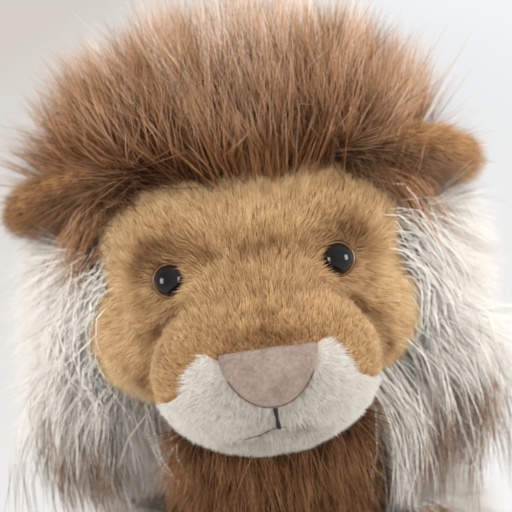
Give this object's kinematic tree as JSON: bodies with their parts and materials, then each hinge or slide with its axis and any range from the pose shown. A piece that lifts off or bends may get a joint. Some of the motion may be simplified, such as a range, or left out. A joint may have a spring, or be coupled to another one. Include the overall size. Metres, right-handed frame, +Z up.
{
  "type": "plush lion",
  "caption": "Sitting stuffed plush lion with a long-haired mane, a turning head, hinged legs and ears, and a tufted tail.",
  "frame": {"origin": "the middle of the flat seat under the body, on the surface that the lion sits on", "axes": "+Z up; the lion faces -Y; its own left side is +X"},
  "size_m": [0.197, 0.2991, 0.346],
  "materials": {
    "golden_pile": "short golden-brown plush pile, matt",
    "cream_pile": "short off-white plush pile, matt",
    "brown_mane": "long brown plush hair with paler golden tips, soft sheen",
    "white_mane": "long off-white plush hair with brown ends, soft sheen",
    "dark_lining": "short dark brown plush pile, matt",
    "stuffing_fibre": "white polyester fibre filling",
    "eye_plastic": "glossy black dome with a thin amber ring",
    "washer_plastic": "plain moulded plastic",
    "nose_velour": "pinkish beige velour, matt",
    "navy_thread": "dark blue sewing thread",
    "brown_thread": "dark brown sewing thread",
    "pellet_cloth": "plain woven cotton bag"
  },
  "bodies": {
    "torso": {"body_cover": "golden_pile", "body_stuffing": "stuffing_fibre", "pellet_bag": "pellet_cloth", "breast_mane": "brown_mane", "shoulder_mane_left": "white_mane", "shoulder_mane_right": "white_mane", "nape_mane": "brown_mane"},
    "neck": {"neck_gusset": "cream_pile"},
    "head": {"head_cover": "golden_pile", "head_stuffing": "stuffing_fibre", "bridge_cover": "golden_pile", "lip_cover": "cream_pile", "nose": "nose_velour", "nose_stitch": "navy_thread", "mouth_line": "brown_thread", "eye_left": "eye_plastic", "eye_right": "eye_plastic", "eye_washer_left": "washer_plastic", "eye_washer_right": "washer_plastic", "crown_mane": "brown_mane", "cheek_mane_left": "white_mane", "cheek_mane_right": "white_mane", "throat_mane": "brown_mane", "back_mane": "brown_mane"},
    "ear_left": {"ear_left": "golden_pile", "ear_lining_left": "dark_lining"},
    "ear_right": {"ear_right": "golden_pile", "ear_lining_right": "dark_lining"},
    "foreleg_left": {"foreleg_left_cover": "golden_pile", "foreleg_left_stuffing": "stuffing_fibre", "foreleg_left_toe_inner": "brown_thread", "foreleg_left_toe_middle": "brown_thread", "foreleg_left_toe_outer": "brown_thread"},
    "foreleg_right": {"foreleg_right_cover": "golden_pile", "foreleg_right_stuffing": "stuffing_fibre", "foreleg_right_toe_inner": "brown_thread", "foreleg_right_toe_middle": "brown_thread", "foreleg_right_toe_outer": "brown_thread"},
    "hindleg_left": {"hindleg_left_cover": "golden_pile", "hindleg_left_stuffing": "stuffing_fibre", "hindleg_left_toe_inner": "brown_thread", "hindleg_left_toe_middle": "brown_thread", "hindleg_left_toe_outer": "brown_thread"},
    "hindleg_right": {"hindleg_right_cover": "golden_pile", "hindleg_right_stuffing": "stuffing_fibre", "hindleg_right_toe_inner": "brown_thread", "hindleg_right_toe_middle": "brown_thread", "hindleg_right_toe_outer": "brown_thread"},
    "tail": {"tail_cover": "golden_pile", "tail_stuffing": "stuffing_fibre", "tail_tuft": "brown_mane"}
  },
  "joints": [
    {"name": "neck_turn", "type": "hinge", "parent": "torso", "child": "neck", "pos_m": [0, -0.01, 0.232], "axis": [0, 0, 1], "range_deg": [-28, 28], "stiffness_Nm_per_rad": 0.12},
    {"name": "head_nod", "type": "hinge", "parent": "neck", "child": "head", "pos_m": [0, -0.01, 0.232], "axis": [1, 0, 0], "range_deg": [-12, 15], "stiffness_Nm_per_rad": 0.4},
    {"name": "ear_flap_left", "type": "hinge", "parent": "head", "child": "ear_left", "pos_m": [0.02711, -0.01, 0.27311], "axis": [-0.0872, 0, -0.9962], "range_deg": [-5, 30], "stiffness_Nm_per_rad": 0.01},
    {"name": "ear_flap_right", "type": "hinge", "parent": "head", "child": "ear_right", "pos_m": [-0.02711, -0.01, 0.27311], "axis": [-0.0872, 0, 0.9962], "range_deg": [-5, 30], "stiffness_Nm_per_rad": 0.01},
    {"name": "shoulder_left", "type": "hinge", "parent": "torso", "child": "foreleg_left", "pos_m": [0.0373, -0.034, 0.121], "axis": [-1, 0, 0], "range_deg": [0, 75], "stiffness_Nm_per_rad": 0.06},
    {"name": "shoulder_right", "type": "hinge", "parent": "torso", "child": "foreleg_right", "pos_m": [-0.0373, -0.034, 0.121], "axis": [-1, 0, 0], "range_deg": [0, 75], "stiffness_Nm_per_rad": 0.06},
    {"name": "hip_left", "type": "hinge", "parent": "torso", "child": "hindleg_left", "pos_m": [0.0675, 0.012, 0.045], "axis": [-1, 0, 0], "range_deg": [-10, 45], "stiffness_Nm_per_rad": 0.06},
    {"name": "hip_right", "type": "hinge", "parent": "torso", "child": "hindleg_right", "pos_m": [-0.0675, 0.012, 0.045], "axis": [-1, 0, 0], "range_deg": [-10, 45], "stiffness_Nm_per_rad": 0.06},
    {"name": "tail_swing", "type": "hinge", "parent": "torso", "child": "tail", "pos_m": [0, 0.05548, 0.019], "axis": [0, 0, 1], "range_deg": [-40, 40], "stiffness_Nm_per_rad": 0.02}
  ]
}
